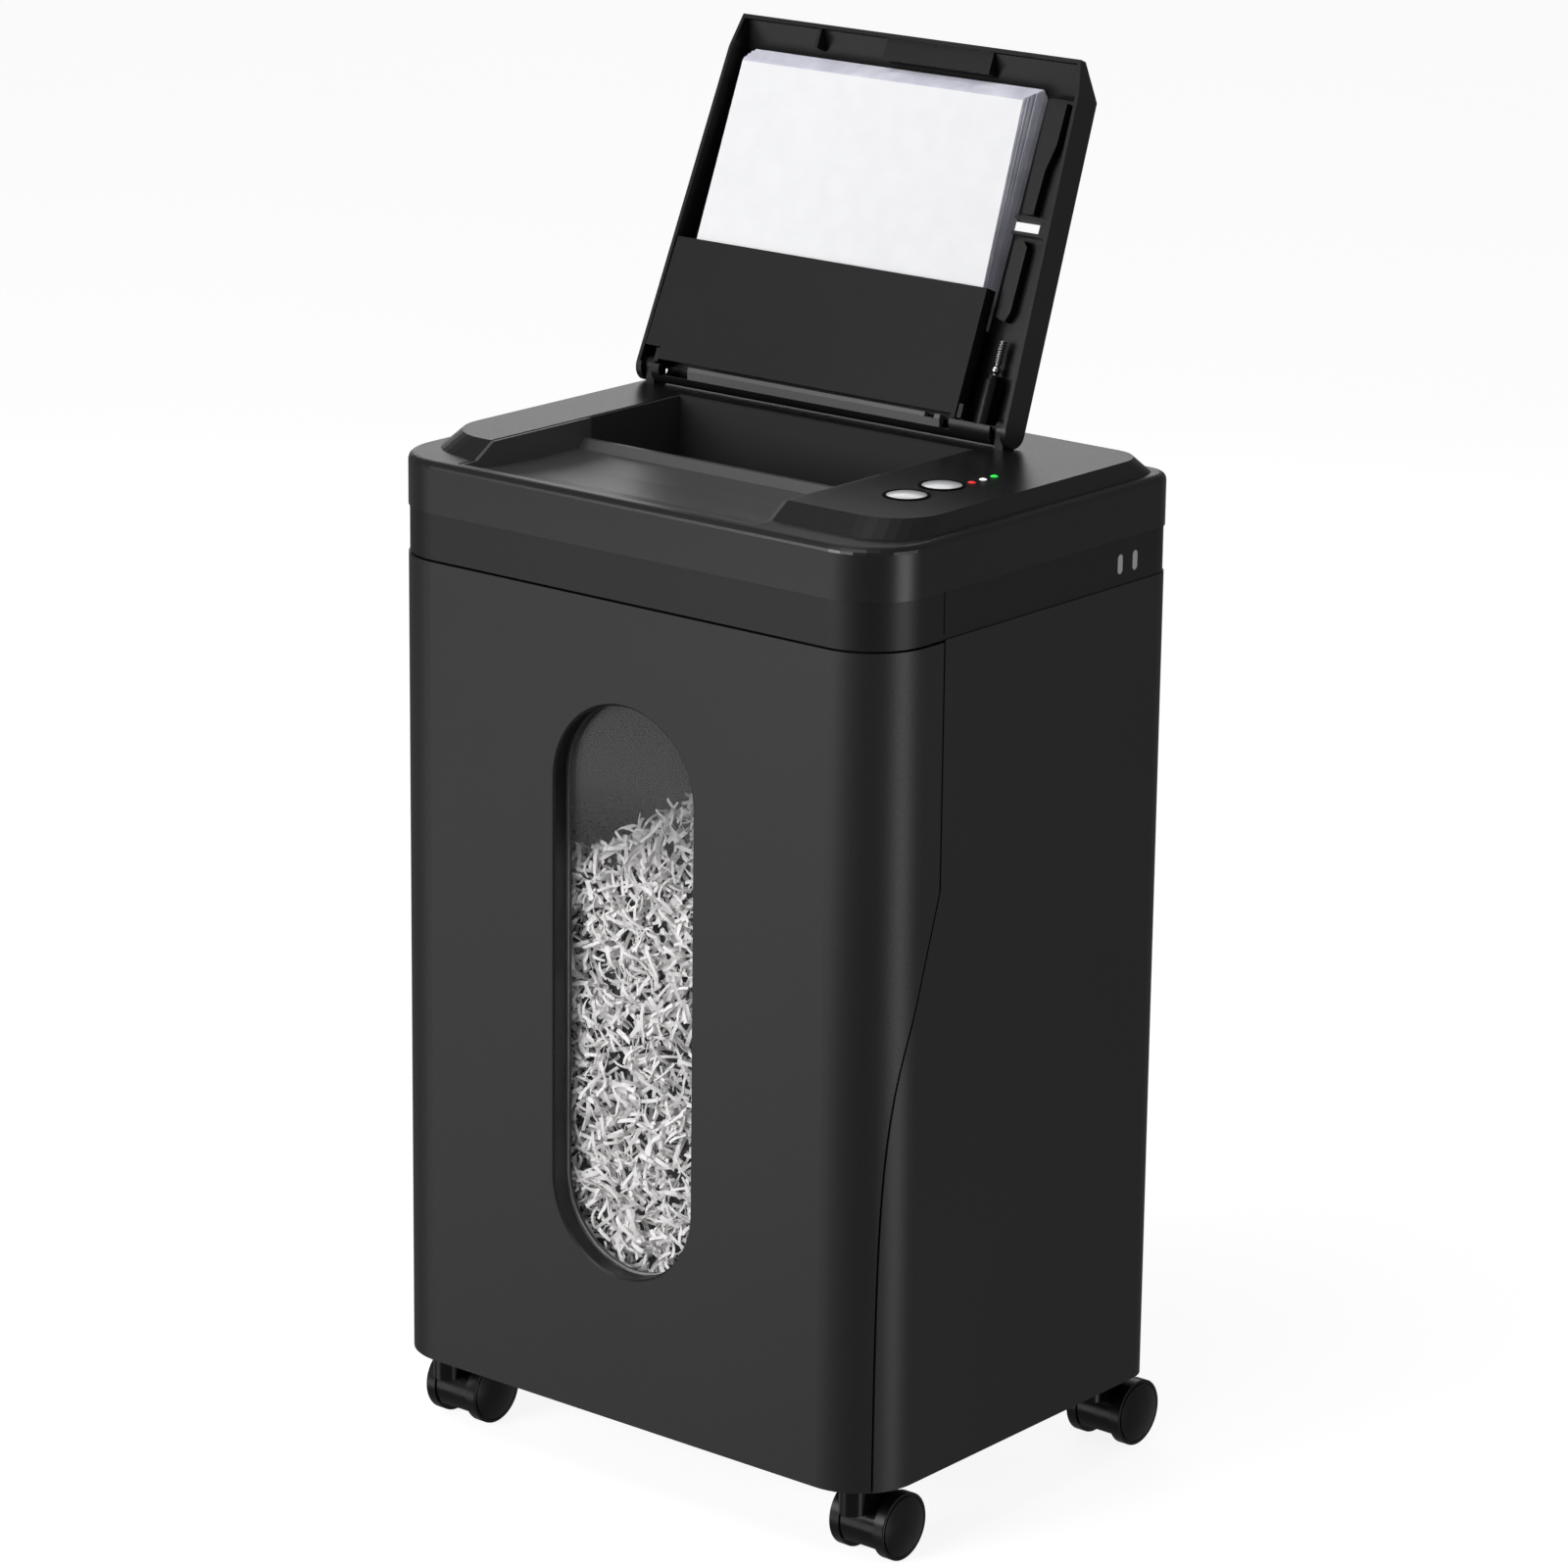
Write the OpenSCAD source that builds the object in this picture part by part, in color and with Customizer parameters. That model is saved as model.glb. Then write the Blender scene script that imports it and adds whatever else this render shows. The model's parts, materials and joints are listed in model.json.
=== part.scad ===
// Auto-feed paper shredder with a pull-out bin, on four twin-wheel casters.
// Millimetres. +Z is up and the front faces -Y. Shapes are drawn in the cabinet's
// own frame, with x = 0 and y = 0 at the cabinet's centre and z = 0 on the floor.

/* [Cabinet] */
// Width of the cabinet and the head
body_w = 366; // [350:1:380]
// Depth of the cabinet and the head
body_d = 268; // [260:1:280]
// Height of the cabinet, from its underside to the head
bin_h = 487; // [470:1:500]
// Radius of the upright corners at the front
front_r = 38; // [30:1:42]
// Radius of the upright corners at the back
back_r = 18; // [14:1:25]
// Thickness of the moulded walls
wall = 2.5; // [2:0.1:3]

/* [Head] */
// Height of the lower band of the head
band_h = 27; // [22:1:30]
// Height of the rim above the cabinet
rim_h = 57; // [55:1:60]
// Height of the raised plateau above the cabinet
plateau_h = 66; // [64:1:70]

/* [Feed tray] */
// Left edge of the tray opening
tray_left = -130; // [-135:1:-125]
// Right edge of the tray opening
tray_right = 88; // [84:1:90]

/* [Lid] */
// Left side of the lid
lid_left = -170; // [-170:1:-160]
// Right side of the lid
lid_right = 106; // [98:1:108]
// Length of the lid in front of its hinge
lid_len = 214; // [205:1:215]
// How much each side of the lid draws in towards its free end
lid_taper = 9; // [0:1:12]
// Depth of the lid
lid_depth = 19; // [18:0.5:20]
// Angle between the open lid and the closed one
open_angle = 112; // [100:1:115]

/* [Window] */
// Width of the window
window_w = 102; // [90:1:110]
// Height of the window
window_h = 338; // [300:1:345]
// Distance from the top of the front panel to the window
window_drop = 60; // [56:1:70]

/* [Casters] */
// Height from the floor to the underside of the cabinet
caster_h = 50; // [48:1:55]
// Radius of the caster wheels
wheel_r = 20; // [18:0.5:21]
// Distance of each caster's stem from the centre, across
caster_x = 155; // [140:1:158]
// Distance of each caster's stem from the centre, front to back
caster_y = 112; // [90:1:114]

/* [Hidden] */
$fn = 64;
HULL_FN = 32;
eps = 0.01;
seam_z = caster_h + bin_h;
half_w = body_w / 2;
half_d = body_d / 2;
rim_z = seam_z + rim_h;
plateau_z = seam_z + plateau_h;
band_z = seam_z + band_h;
gap = 0.4;
seam_gap = 0.6;

// The side seam between the front panel and the cabinet
seam_in = 54.5;
seam_kink = 142;
seam_slope = 0.31;
seam_run = 84;
seam_low = 14;
seam_decay = 47;

// The hinge of the lid
hinge_y = 82;
barrel_r = lid_depth / 2;
hinge_z = plateau_z + barrel_r + 0.5;
lid_rot = 180 - open_angle;
post_w = 6;
post_r = 5.5;
hinge_pin_r = 2.5;
lid_skin = 1.3;
running = 0.05;

// The open lid leans out past the cabinet's back, so the whole object's middle
// lies behind the cabinet's
slope_run = 20;
slope_edge = 4.5;
lid_reach = hinge_y + (lid_len - slope_run) * cos(lid_rot) + barrel_r * sin(lid_rot);
centre_y = -(lid_reach - half_d) / 2;

// The flap inside the lid
flap_pivot = [6, 6];
flap_right = 68;
flap_top = 77;
flap_t = 2;

// The drive, in the head: y and z of each shaft, z from the seam
cutter_pitch = 5;
cutter_count = 41;
cutter_x0 = -115;
cutter_r = 16;
cutter_core_r = 8;
shaft_r = 5;
front_cutter = [20, 0];
rear_cutter = [48, 0];
feed_axis = [-2.5, 22];
motor_axis = [98, -6];
cutter_module = 1.75;
cutter_teeth = 16;
feed_teeth = 20;
final_module = 1.5;
final_teeth = 30;
idler_small_teeth = 14;
first_module = 1.25;
idler_big_teeth = 40;
pinion_teeth = 12;
shaft_to_idler = final_module * (final_teeth + idler_small_teeth) / 2;
idler_to_motor = first_module * (idler_big_teeth + pinion_teeth) / 2;
shaft_to_motor = norm(motor_axis - rear_cutter);
motor_bearing = atan2(motor_axis[1] - rear_cutter[1], motor_axis[0] - rear_cutter[0]);
idler_bearing = motor_bearing + acos((shaft_to_idler ^ 2 + shaft_to_motor ^ 2 - idler_to_motor ^ 2)
    / (2 * shaft_to_idler * shaft_to_motor));
idler_axis = rear_cutter + shaft_to_idler * [cos(idler_bearing), sin(idler_bearing)];
plate_t = 3;
left_plate_x = -126;
right_plate_x = 92;
gear_x = 98;
gear_w = 10;
final_x = 110;
final_w = 8;
first_x = 120;
first_w = 6;
cover_x = 132;
feed_roller_r = 13;
feed_roller_w = 26;
feed_roller_x = [-72, 4];

// The controls on the plateau
button_x = 129;
button_y = [-46.5, -15];
button_r = 11.2;
led_x = 137;
led_y = [1.6, 11.7, 21.8];
led_r = 2.3;

// The bin
bucket_w = 341;
bucket_d = 238;
bucket_z = caster_h + 26;
bucket_top = seam_z - 46;
bucket_front = -half_d + 13;
bucket_wall = 2.2;
window_z = seam_z - window_drop - window_h / 2;
collar_depth = 10;
pane_t = 2;

// The casters
stem_r = 4;
socket_r = 7;
trail = 22;
axle_r = 2;
hood_r = 19;
hood_w = 24;
wheel_w = 8;

charcoal = [0.09, 0.09, 0.088];
satin_black = [0.13, 0.13, 0.13];
gloss_black = [0.03, 0.03, 0.03];
steel = [0.62, 0.63, 0.65];
paper = [0.95, 0.95, 0.96];

CORNERS = ["front_left", "front_right", "rear_left", "rear_right"];
function corner_x(i) = caster_x * (i % 2 == 0 ? -1 : 1);
function corner_y(i) = caster_y * (i < 2 ? -1 : 1);

// ---------------------------------------------------------------- helpers

// Puts a sub-part in the object's frame and gives it its colour
module part(c) {
    color(c) translate([0, centre_y, 0]) children();
}

module rounded_rect(w, d, r) {
    square([w - 2 * r, d], center = true);
    square([w, d - 2 * r], center = true);
    for (sx = [-1, 1], sy = [-1, 1])
        translate([sx * (w / 2 - r), sy * (d / 2 - r)]) circle(r);
}

// The cabinet's outline, drawn in at the sides and back, and at the front
module outline(side, front, rf, rb) {
    w = body_w - 2 * side;
    low = -half_d + front;
    high = half_d - side;
    translate([-w / 2, low + rf]) square([w, high - rb - low - rf]);
    translate([-w / 2 + rf, low]) square([w - 2 * rf, rf]);
    translate([-w / 2 + rb, 0]) square([w - 2 * rb, high]);
    for (s = [-1, 1]) {
        translate([s * (w / 2 - rf), low + rf]) circle(rf);
        translate([s * (w / 2 - rb), high - rb]) circle(rb);
    }
}

// A slab of the cabinet's outline, drawn in by inset on every side
module body_slab(inset, h) {
    linear_extrude(h) outline(inset, inset, front_r - inset, back_r - inset);
}

// A thin slab of the head, for its sloped and rounded faces
module head_slab(side, front, rf, rb) {
    linear_extrude(eps) outline(side, front, rf, rb, $fn = HULL_FN);
}

module box(low, high) {
    translate(low) cube(high - low);
}

// Extrudes a shape drawn in y and z from x0 to x1
module along_x(x0, x1) {
    translate([x0, 0, 0]) rotate([90, 0, 90]) linear_extrude(x1 - x0) children();
}

// A round bar along x at the given y and z
module bar_x(x0, x1, yz, r) {
    translate([x0, yz[0], yz[1]]) rotate([0, 90, 0]) cylinder(r = r, h = x1 - x0);
}

// An upright slot shape in x and z, extruded back from y0 to y1
module stadium(w, h, y0, y1) {
    translate([0, y1, window_z]) rotate([90, 0, 0]) linear_extrude(y1 - y0) {
        square([w, h - w], center = true);
        for (s = [-1, 1]) translate([0, s * (h - w) / 2]) circle(w / 2, $fn = 96);
    }
}

// Depth of the side seam behind the front face, at a drop below the head
function seam_depth(drop) =
    let (t = drop - seam_kink)
    t < 0 ? seam_in
    : t < seam_run ? seam_in - seam_slope * t
    : seam_low + (seam_in - seam_slope * seam_run - seam_low) * exp(-(t - seam_run) / seam_decay);

// All that lies in front of the side seam, moved back by shift
module front_region(shift) {
    drops = concat([0], [for (d = [seam_kink : 14 : bin_h - 40]) d], [bin_h]);
    edge = [for (d = drops) [-half_d + seam_depth(d) + shift, seam_z - d]];
    along_x(-half_w - 1, half_w + 1)
        polygon(concat([[-half_d - 1, seam_z]], edge, [[-half_d - 1, caster_h]]));
}

// Moves a shape from the head's own height to the object's
module at_seam() {
    translate([0, 0, seam_z]) children();
}

// The lid's frame: y runs from the hinge to the free end and z faces out of the hollow
module in_lid() {
    translate([0, hinge_y, hinge_z]) rotate([lid_rot, 0, 0]) children();
}

// ---------------------------------------------------------------- gears

// Phase of gear b, in mesh with gear a, where bearing is the direction from a to b
function mesh_phase(bearing, phase_a, teeth_a, teeth_b) =
    bearing + 180 + 180 / teeth_b + teeth_a / teeth_b * (bearing - phase_a);

module gear_2d(teeth, m, phase) {
    root = m * (teeth / 2 - 1.15);
    tip = m * (teeth / 2 + 0.85);
    step = 360 / teeth;
    rotate(phase) {
        circle(root);
        for (i = [0 : teeth - 1]) rotate(i * step) polygon([
            [root - 0.4, -0.86 * m], [root + 0.25 * m, -0.80 * m], [m * teeth / 2, -0.66 * m],
            [tip, -0.30 * m], [tip, 0.30 * m], [m * teeth / 2, 0.66 * m],
            [root + 0.25 * m, 0.80 * m], [root - 0.4, 0.86 * m]
        ]);
    }
}

module gear(x, w, at, teeth, m, phase, bore = 0) {
    along_x(x, x + w) translate(at) difference() {
        gear_2d(teeth, m, phase);
        if (bore > 0) circle(bore);
    }
}

rear_phase = mesh_phase(0, 0, cutter_teeth, cutter_teeth);
feed_bearing = atan2(feed_axis[1] - front_cutter[1], feed_axis[0] - front_cutter[0]);
feed_phase = mesh_phase(feed_bearing, 0, cutter_teeth, feed_teeth);
idler_small_phase = mesh_phase(idler_bearing, 0, final_teeth, idler_small_teeth);
idler_motor_bearing = atan2(motor_axis[1] - idler_axis[1], motor_axis[0] - idler_axis[0]);
pinion_phase = mesh_phase(idler_motor_bearing, 0, idler_big_teeth, pinion_teeth);

// ---------------------------------------------------------------- cabinet

screw_z = [caster_h + 5, seam_z - 20];

module cabinet_shell() {
    part(charcoal) difference() {
        translate([0, 0, caster_h]) body_slab(0, bin_h);
        translate([0, 0, caster_h - 1]) body_slab(wall, bin_h + 2);
        front_region(seam_gap);
        for (x = [-150, 150], z = screw_z)
            translate([x, half_d + 1, z]) rotate([90, 0, 0]) cylinder(r = 2, h = wall + 2);
    }
}

runner_x = 110;

module cabinet_base() {
    part(charcoal) difference() {
        union() {
            translate([0, 0, caster_h]) body_slab(wall + gap, 8);
            intersection() {
                translate([0, 0, caster_h]) body_slab(wall, 8);
                box([-half_w, -half_d + seam_low + 1, 0], [half_w, half_d, seam_z]);
            }
            for (i = [0 : 3]) translate([corner_x(i), corner_y(i), caster_h])
                cylinder(r = socket_r + 4, h = 24);
            for (s = [-1, 1])
                box([s * runner_x - 4, -70, caster_h + 8 - eps], [s * runner_x + 4, 110, bucket_z - 0.4]);
        }
        for (i = [0 : 3]) translate([corner_x(i), corner_y(i), caster_h - 1])
            cylinder(r = socket_r, h = 22);
        // the underside is ribbed, so it is hollow between the casters
        box([-112, -100, caster_h - 1], [112, 100, caster_h + 4]);
    }
}

module stem_sockets() {
    part(steel) for (i = [0 : 3]) translate([corner_x(i), corner_y(i), caster_h]) difference() {
        cylinder(r = socket_r, h = 21);
        translate([0, 0, -1]) cylinder(r = stem_r + running, h = 20);
    }
}

module rear_screws() {
    part(steel) for (x = [-150, 150], z = screw_z)
        translate([x, half_d, z]) rotate([90, 0, 0]) difference() {
            union() {
                cylinder(r = 2, h = wall);
                translate([0, 0, -1.6]) cylinder(r = 4, h = 1.6);
            }
            for (a = [0, 90]) rotate(a) translate([-2.4, -0.4, -2]) cube([4.8, 0.8, 1.2]);
        }
}

// ---------------------------------------------------------------- head

band_inset = 0.8;
well_low = [-136, -44, -40];
well_high = [170, 128, 3];
slot_y = [81, 95];
slot_z = [6.5, 18];
slot_w = 5;

module side_slot(y, grow, x0, x1) {
    along_x(x0, x1) translate([y, 0]) {
        r = slot_w / 2 + grow;
        translate([-r, slot_z[0] + slot_w / 2]) square([2 * r, slot_z[1] - slot_z[0] - slot_w]);
        for (z = [slot_z[0] + slot_w / 2, slot_z[1] - slot_w / 2]) translate([0, z]) circle(r);
    }
}

rocker_x = -60;
gland_x = -110;

module head_chassis() {
    band_back = -half_d + seam_in + gap;
    part(satin_black) at_seam() difference() {
        union() {
            difference() {
                body_slab(band_inset, band_h);
                translate([0, 0, 3]) body_slab(wall + band_inset, band_h);
                box([-half_w, -half_d - 1, 3], [half_w, band_back, band_h + 1]);
            }
            box(well_low, well_high);
        }
        box(well_low + [wall, wall, wall], well_high + [-wall, -wall, 1]);
        // where the cut paper falls into the bin
        box([-120, 6, well_low[2] - 1], [88, 62, well_low[2] + wall + 1]);
        for (y = slot_y) side_slot(y, 0, half_w - 6, half_w + 1);
        box([rocker_x - 11, half_d - 6, 4], [rocker_x + 11, half_d + 1, 19]);
        translate([gland_x, half_d + 1, 12]) rotate([90, 0, 0]) cylinder(r = 6, h = 8);
    }
}

module front_band() {
    part(satin_black) at_seam() difference() {
        translate([0, 0, 3]) body_slab(band_inset, band_h - 3);
        translate([0, 0, 2]) body_slab(wall + band_inset, band_h);
        box([-half_w, -half_d + seam_in - gap, 0], [half_w, half_d + 1, band_h + 1]);
    }
}

// Sloped facets of the head: how far in they start and end
lip_r = 4;
foot_side = 7;
foot_front = 20;
top_side = 13;
top_front = 35;

module cover_lip(inset, drop) {
    hull() {
        for (a = [0 : 22.5 : 90])
            translate([0, 0, rim_h - drop - lip_r + lip_r * sin(a)])
                lip_slab(inset + lip_r * (1 - cos(a)));
    }
}

module lip_slab(inset) {
    head_slab(inset, inset, front_r - inset, back_r - inset);
}

module cover_plateau(inset, drop) {
    hull() {
        translate([0, 0, rim_h - drop - 1])
            head_slab(foot_side + inset, foot_front + inset, 34 - inset, 13 - inset);
        translate([0, 0, plateau_h - drop - eps])
            head_slab(top_side + inset, top_front + inset, 32 - inset, 20 - inset);
    }
}

tray_inset = 7;

module tray_opening() {
    box([tray_left, -half_d + tray_inset, band_h - 1], [tray_right, 66, plateau_h + 1]);
}

module top_cover() {
    part(charcoal) at_seam() {
        cover_skin();
        // posts that carry the control board
        for (x = [110, 156], y = [-63, 29])
            translate([x, y, board_z + board_t]) cylinder(r = 2.5, h = plateau_h - 1 - board_z - board_t);
    }
}

module cover_skin() {
    difference() {
        union() {
            translate([0, 0, band_h]) body_slab(0, rim_h - lip_r - band_h);
            cover_lip(0, 0);
            cover_plateau(0, 0);
        }
        translate([0, 0, band_h - 1]) body_slab(wall, rim_h - lip_r - band_h + 1);
        cover_lip(wall, wall);
        cover_plateau(wall, wall);
        tray_opening();
        for (y = button_y) translate([button_x, y, rim_h]) cylinder(r = button_r + 0.4, h = 12);
        for (y = led_y) translate([led_x, y, rim_h]) cylinder(r = led_r, h = 12);
    }
}

ridge_y = -18;
tray_floor = 49.5;
tray_well = 30;
throat_y = [31, 37];

module feed_tray() {
    front = -half_d + tray_inset;
    outer = [
        [front, tray_floor - wall], [front, rim_h - 0.4], [-half_d + foot_front + 1, rim_h - 0.4],
        [-half_d + top_front, plateau_h - 0.4], [66, plateau_h - 0.4], [66, tray_well - wall],
        [ridge_y - wall, tray_well - wall], [ridge_y - wall, tray_floor - wall]
    ];
    inner = [
        [front + wall, tray_floor + 5], [-half_d + 34, tray_floor + 1.5], [-half_d + 70, tray_floor],
        [ridge_y - 9, tray_floor], [ridge_y - 4, tray_floor + 5], [ridge_y - 1, tray_floor + 5],
        [ridge_y, tray_floor], [ridge_y + 1, tray_well], [63.3, tray_well], [63.3, plateau_h + 5],
        [front + wall, plateau_h + 5]
    ];
    part(satin_black) at_seam() difference() {
        along_x(tray_left, tray_right) polygon(outer);
        along_x(tray_left + wall, tray_right - wall) polygon(inner);
        box([-122, throat_y[0], 20], [80, throat_y[1], 40]);
        for (x = feed_roller_x)
            box([x - feed_roller_w / 2 - 1, ridge_y + 1.5, 20], [x + feed_roller_w / 2 + 1, 12, 40]);
    }
}

module hinge_posts() {
    part(charcoal) for (x = [lid_left + 5, lid_right - 5 - post_w]) difference() {
        union() {
            bar_x(x, x + post_w, [hinge_y, hinge_z], post_r);
            box([x, hinge_y - post_r, plateau_z], [x + post_w, hinge_y + post_r, hinge_z]);
        }
        bar_x(x - 1, x + post_w + 1, [hinge_y, hinge_z], hinge_pin_r);
    }
}

module hinge_pins() {
    part(steel) {
        bar_x(lid_left + lid_skin, lid_left + 5 + post_w, [hinge_y, hinge_z], hinge_pin_r);
        bar_x(lid_right - 5 - post_w, lid_right - lid_skin, [hinge_y, hinge_z], hinge_pin_r);
    }
}

board_z = 50;
board_t = 1.6;

module light(y, c) {
    part(c) at_seam() translate([led_x, y, 0]) {
        translate([0, 0, 56]) cylinder(r = led_r, h = plateau_h - 56);
        translate([0, 0, plateau_h]) intersection() {
            translate([0, 0, -2.5]) sphere(r = 3.4);
            cylinder(r = led_r, h = 3);
        }
    }
}

module red_light() { light(led_y[0], "red"); }
module white_light() { light(led_y[1], "white"); }
module green_light() { light(led_y[2], "lime"); }

module side_slot_inserts() {
    part(steel) at_seam() for (y = slot_y)
        side_slot(y, 0, half_w - band_inset - wall, half_w - band_inset - 0.3);
}

module control_board() {
    part("darkgreen") at_seam() {
        box([106, -68, board_z], [160, 34, board_z + board_t]);
        for (y = button_y)
            box([button_x - 4, y - 4, board_z + board_t - eps], [button_x + 4, y + 4, 55]);
        for (y = led_y) translate([led_x, y, board_z + 1]) cylinder(r = 1.8, h = 5);
    }
}

module button(y) {
    part([0.85, 0.86, 0.88]) at_seam() translate([button_x, y, 0]) {
        translate([0, 0, 58]) cylinder(r = button_r + 1.4, h = 2);
        translate([0, 0, 60]) intersection() {
            cylinder(r = button_r, h = 9);
            translate([0, 0, -32]) sphere(r = 40);
        }
        translate([0, 0, 56.6]) cylinder(r = 3, h = 1.4);
    }
}

module start_button() { button(button_y[0]); }
module reverse_button() { button(button_y[1]); }

module power_switch_frame() {
    part(gloss_black) at_seam() difference() {
        union() {
            box([rocker_x - 13, half_d - band_inset, 2], [rocker_x + 13, half_d + 1, 21]);
            box([rocker_x - 10.8, half_d - 16, 4.2], [rocker_x + 10.8, half_d, 18.8]);
        }
        box([rocker_x - 9, half_d - 12, 5.8], [rocker_x + 9, half_d + 2, 17.2]);
    }
}

rocker_axis_y = half_d - 5;

module power_rocker() {
    part(gloss_black) at_seam() rotate_about([rocker_x, rocker_axis_y, 11.5], 8)
        intersection() {
            box([rocker_x - 8, rocker_axis_y - 2, 6.6], [rocker_x + 8, half_d + 2.4, 16.4]);
            translate([rocker_x, rocker_axis_y, 0]) cylinder(r = 8.6, h = 30);
        }
}

module rotate_about(at, angle) {
    translate(at) rotate([0, 0, angle]) translate(-at) children();
}

module cord_gland() {
    part(gloss_black) at_seam() translate([gland_x, half_d - band_inset, 12]) rotate([-90, 0, 0])
        difference() {
            union() {
                translate([0, 0, -4]) cylinder(r = 6, h = 4);
                cylinder(r = 9, h = 3);
                cylinder(r = 6.5, h = 8);
            }
            translate([0, 0, -5]) cylinder(r = 3.5, h = 20);
        }
}

module bin_switch() {
    part("red") at_seam() {
        box([-100, -64, -12], [-80, -50, 0]);
        box([-93, -60, -16], [-87, -54, -12]);
    }
}

// ---------------------------------------------------------------- drive

// The plates that carry the shafts, bored for each one
module drive_plate(x, outline, axes) {
    part(steel) at_seam() along_x(x, x + plate_t) difference() {
        polygon(outline);
        for (a = axes) translate(a[0]) circle(a[1] + running);
        for (rod = ROD_AXES) translate(rod) circle(3);
    }
}

ROD_AXES = [[-8, -8], [34, -24], [60, 18]];
foot_z = well_low[2] + wall;
SMALL_PLATE = [[-18, foot_z], [64, foot_z], [64, 26.5], [-12, 26.5], [-18, 20]];
BIG_PLATE = [[-18, foot_z], [124, foot_z], [124, 26], [100, 42], [56, 42], [40, 26.5],
    [-12, 26.5], [-18, 20]];

module cutter_left_plate() {
    drive_plate(left_plate_x, SMALL_PLATE,
        [[front_cutter, shaft_r], [rear_cutter, shaft_r], [feed_axis, 4]]);
}

module cutter_right_plate() {
    drive_plate(right_plate_x, BIG_PLATE,
        [[front_cutter, shaft_r], [rear_cutter, shaft_r], [feed_axis, 4], [idler_axis, 4],
        [motor_axis, 3]]);
}

module gearbox_cover() {
    part(satin_black) at_seam() difference() {
        along_x(cover_x, cover_x + 2.5) polygon(BIG_PLATE);
        for (a = [[rear_cutter, shaft_r], [feed_axis, 4], [idler_axis, 4], [motor_axis, 3]])
            bar_x(cover_x - 1, cover_x + 4, a[0], a[1] + running);
    }
}

module tie_rods() {
    part(steel) at_seam() for (rod = ROD_AXES)
        bar_x(left_plate_x, right_plate_x + plate_t, rod, 3);
}

// A toothed cutter shaft: a revolved core with a ridge for each cutting disc
module cutter_shaft(at, offset, x1) {
    xs = [for (i = [0 : cutter_count - 1]) cutter_x0 + i * cutter_pitch + offset];
    core0 = left_plate_x + plate_t + 0.5;
    core1 = right_plate_x - 0.5;
    ridges = [for (x = xs, p = [[0, cutter_core_r], [0, cutter_r], [2, cutter_r], [2, cutter_core_r]])
        [p[1], x + p[0]]];
    part(steel) at_seam() translate([0, at[0], at[1]]) rotate([0, 90, 0]) rotate_extrude()
        polygon(concat(
            [[0, left_plate_x - 3], [shaft_r, left_plate_x - 3], [shaft_r, core0], [cutter_core_r, core0]],
            ridges,
            [[cutter_core_r, core1], [shaft_r, core1], [shaft_r, x1], [0, x1]]));
}

module front_cutter_shaft() { cutter_shaft(front_cutter, 0, gear_x + gear_w + 1); }
module rear_cutter_shaft() { cutter_shaft(rear_cutter, cutter_pitch / 2, cover_x + 2.5); }

module front_cutter_gear() {
    part(steel) at_seam()
        gear(gear_x, gear_w, front_cutter, cutter_teeth, cutter_module, 0, shaft_r);
}

module rear_cutter_gears() {
    part(steel) at_seam() {
        gear(gear_x, gear_w, rear_cutter, cutter_teeth, cutter_module, rear_phase, shaft_r);
        gear(final_x, final_w, rear_cutter, final_teeth, final_module, 0, shaft_r);
    }
}

module idler_gear() {
    part([0.9, 0.9, 0.86]) at_seam() {
        gear(final_x, final_w + 2, idler_axis, idler_small_teeth, final_module, idler_small_phase);
        gear(first_x, first_w, idler_axis, idler_big_teeth, first_module, 0);
        bar_x(right_plate_x - 1, cover_x + 2.5, idler_axis, 4);
    }
}

module motor_pinion() {
    part(steel) at_seam() {
        gear(first_x, first_w + 2, motor_axis, pinion_teeth, first_module, pinion_phase);
        bar_x(86.2, cover_x + 2.5, motor_axis, 3);
    }
}

module drive_motor() {
    part([0.45, 0.46, 0.48]) at_seam() {
        bar_x(-36, 78, motor_axis, 26);
        bar_x(-44, -36, motor_axis, 9);
        difference() {
            bar_x(78, right_plate_x, motor_axis, 12);
            bar_x(86, right_plate_x + 1, motor_axis, 3 + running);
        }
    }
}

module feed_shaft() {
    part(steel) at_seam() {
        bar_x(left_plate_x - 2, cover_x + 2.5, feed_axis, 4);
        gear(gear_x, gear_w, feed_axis, feed_teeth, cutter_module, feed_phase, 4);
    }
}

module feed_rollers() {
    part([0.2, 0.2, 0.2]) at_seam() for (x = feed_roller_x) difference() {
        bar_x(x - feed_roller_w / 2, x + feed_roller_w / 2, feed_axis, feed_roller_r);
        bar_x(x - feed_roller_w, x + feed_roller_w, feed_axis, 4);
    }
}

comb_finger_w = 1.6;

// Fingers that clear cut paper out of the grooves between the discs
module comb(at, offset, side) {
    back = at[0] + side * 18.5;
    tip = at[0] + side * (cutter_core_r + 1);
    box([left_plate_x + plate_t, min(back, back + side * 3), -14],
        [right_plate_x, max(back, back + side * 3), -6]);
    for (i = [0 : cutter_count - 2]) {
        x = cutter_x0 + i * cutter_pitch + offset + 2 + (cutter_pitch - 2 - comb_finger_w) / 2;
        box([x, min(back, tip), -12], [x + comb_finger_w, max(back, tip), -8]);
    }
}

module stripper_combs() {
    part(gloss_black) at_seam() {
        comb(front_cutter, 0, -1);
        comb(rear_cutter, cutter_pitch / 2, 1);
    }
}

// ---------------------------------------------------------------- bin

bin_screw_x = 140;
bin_screw_z = [caster_h + 60, seam_z - 90];

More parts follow.
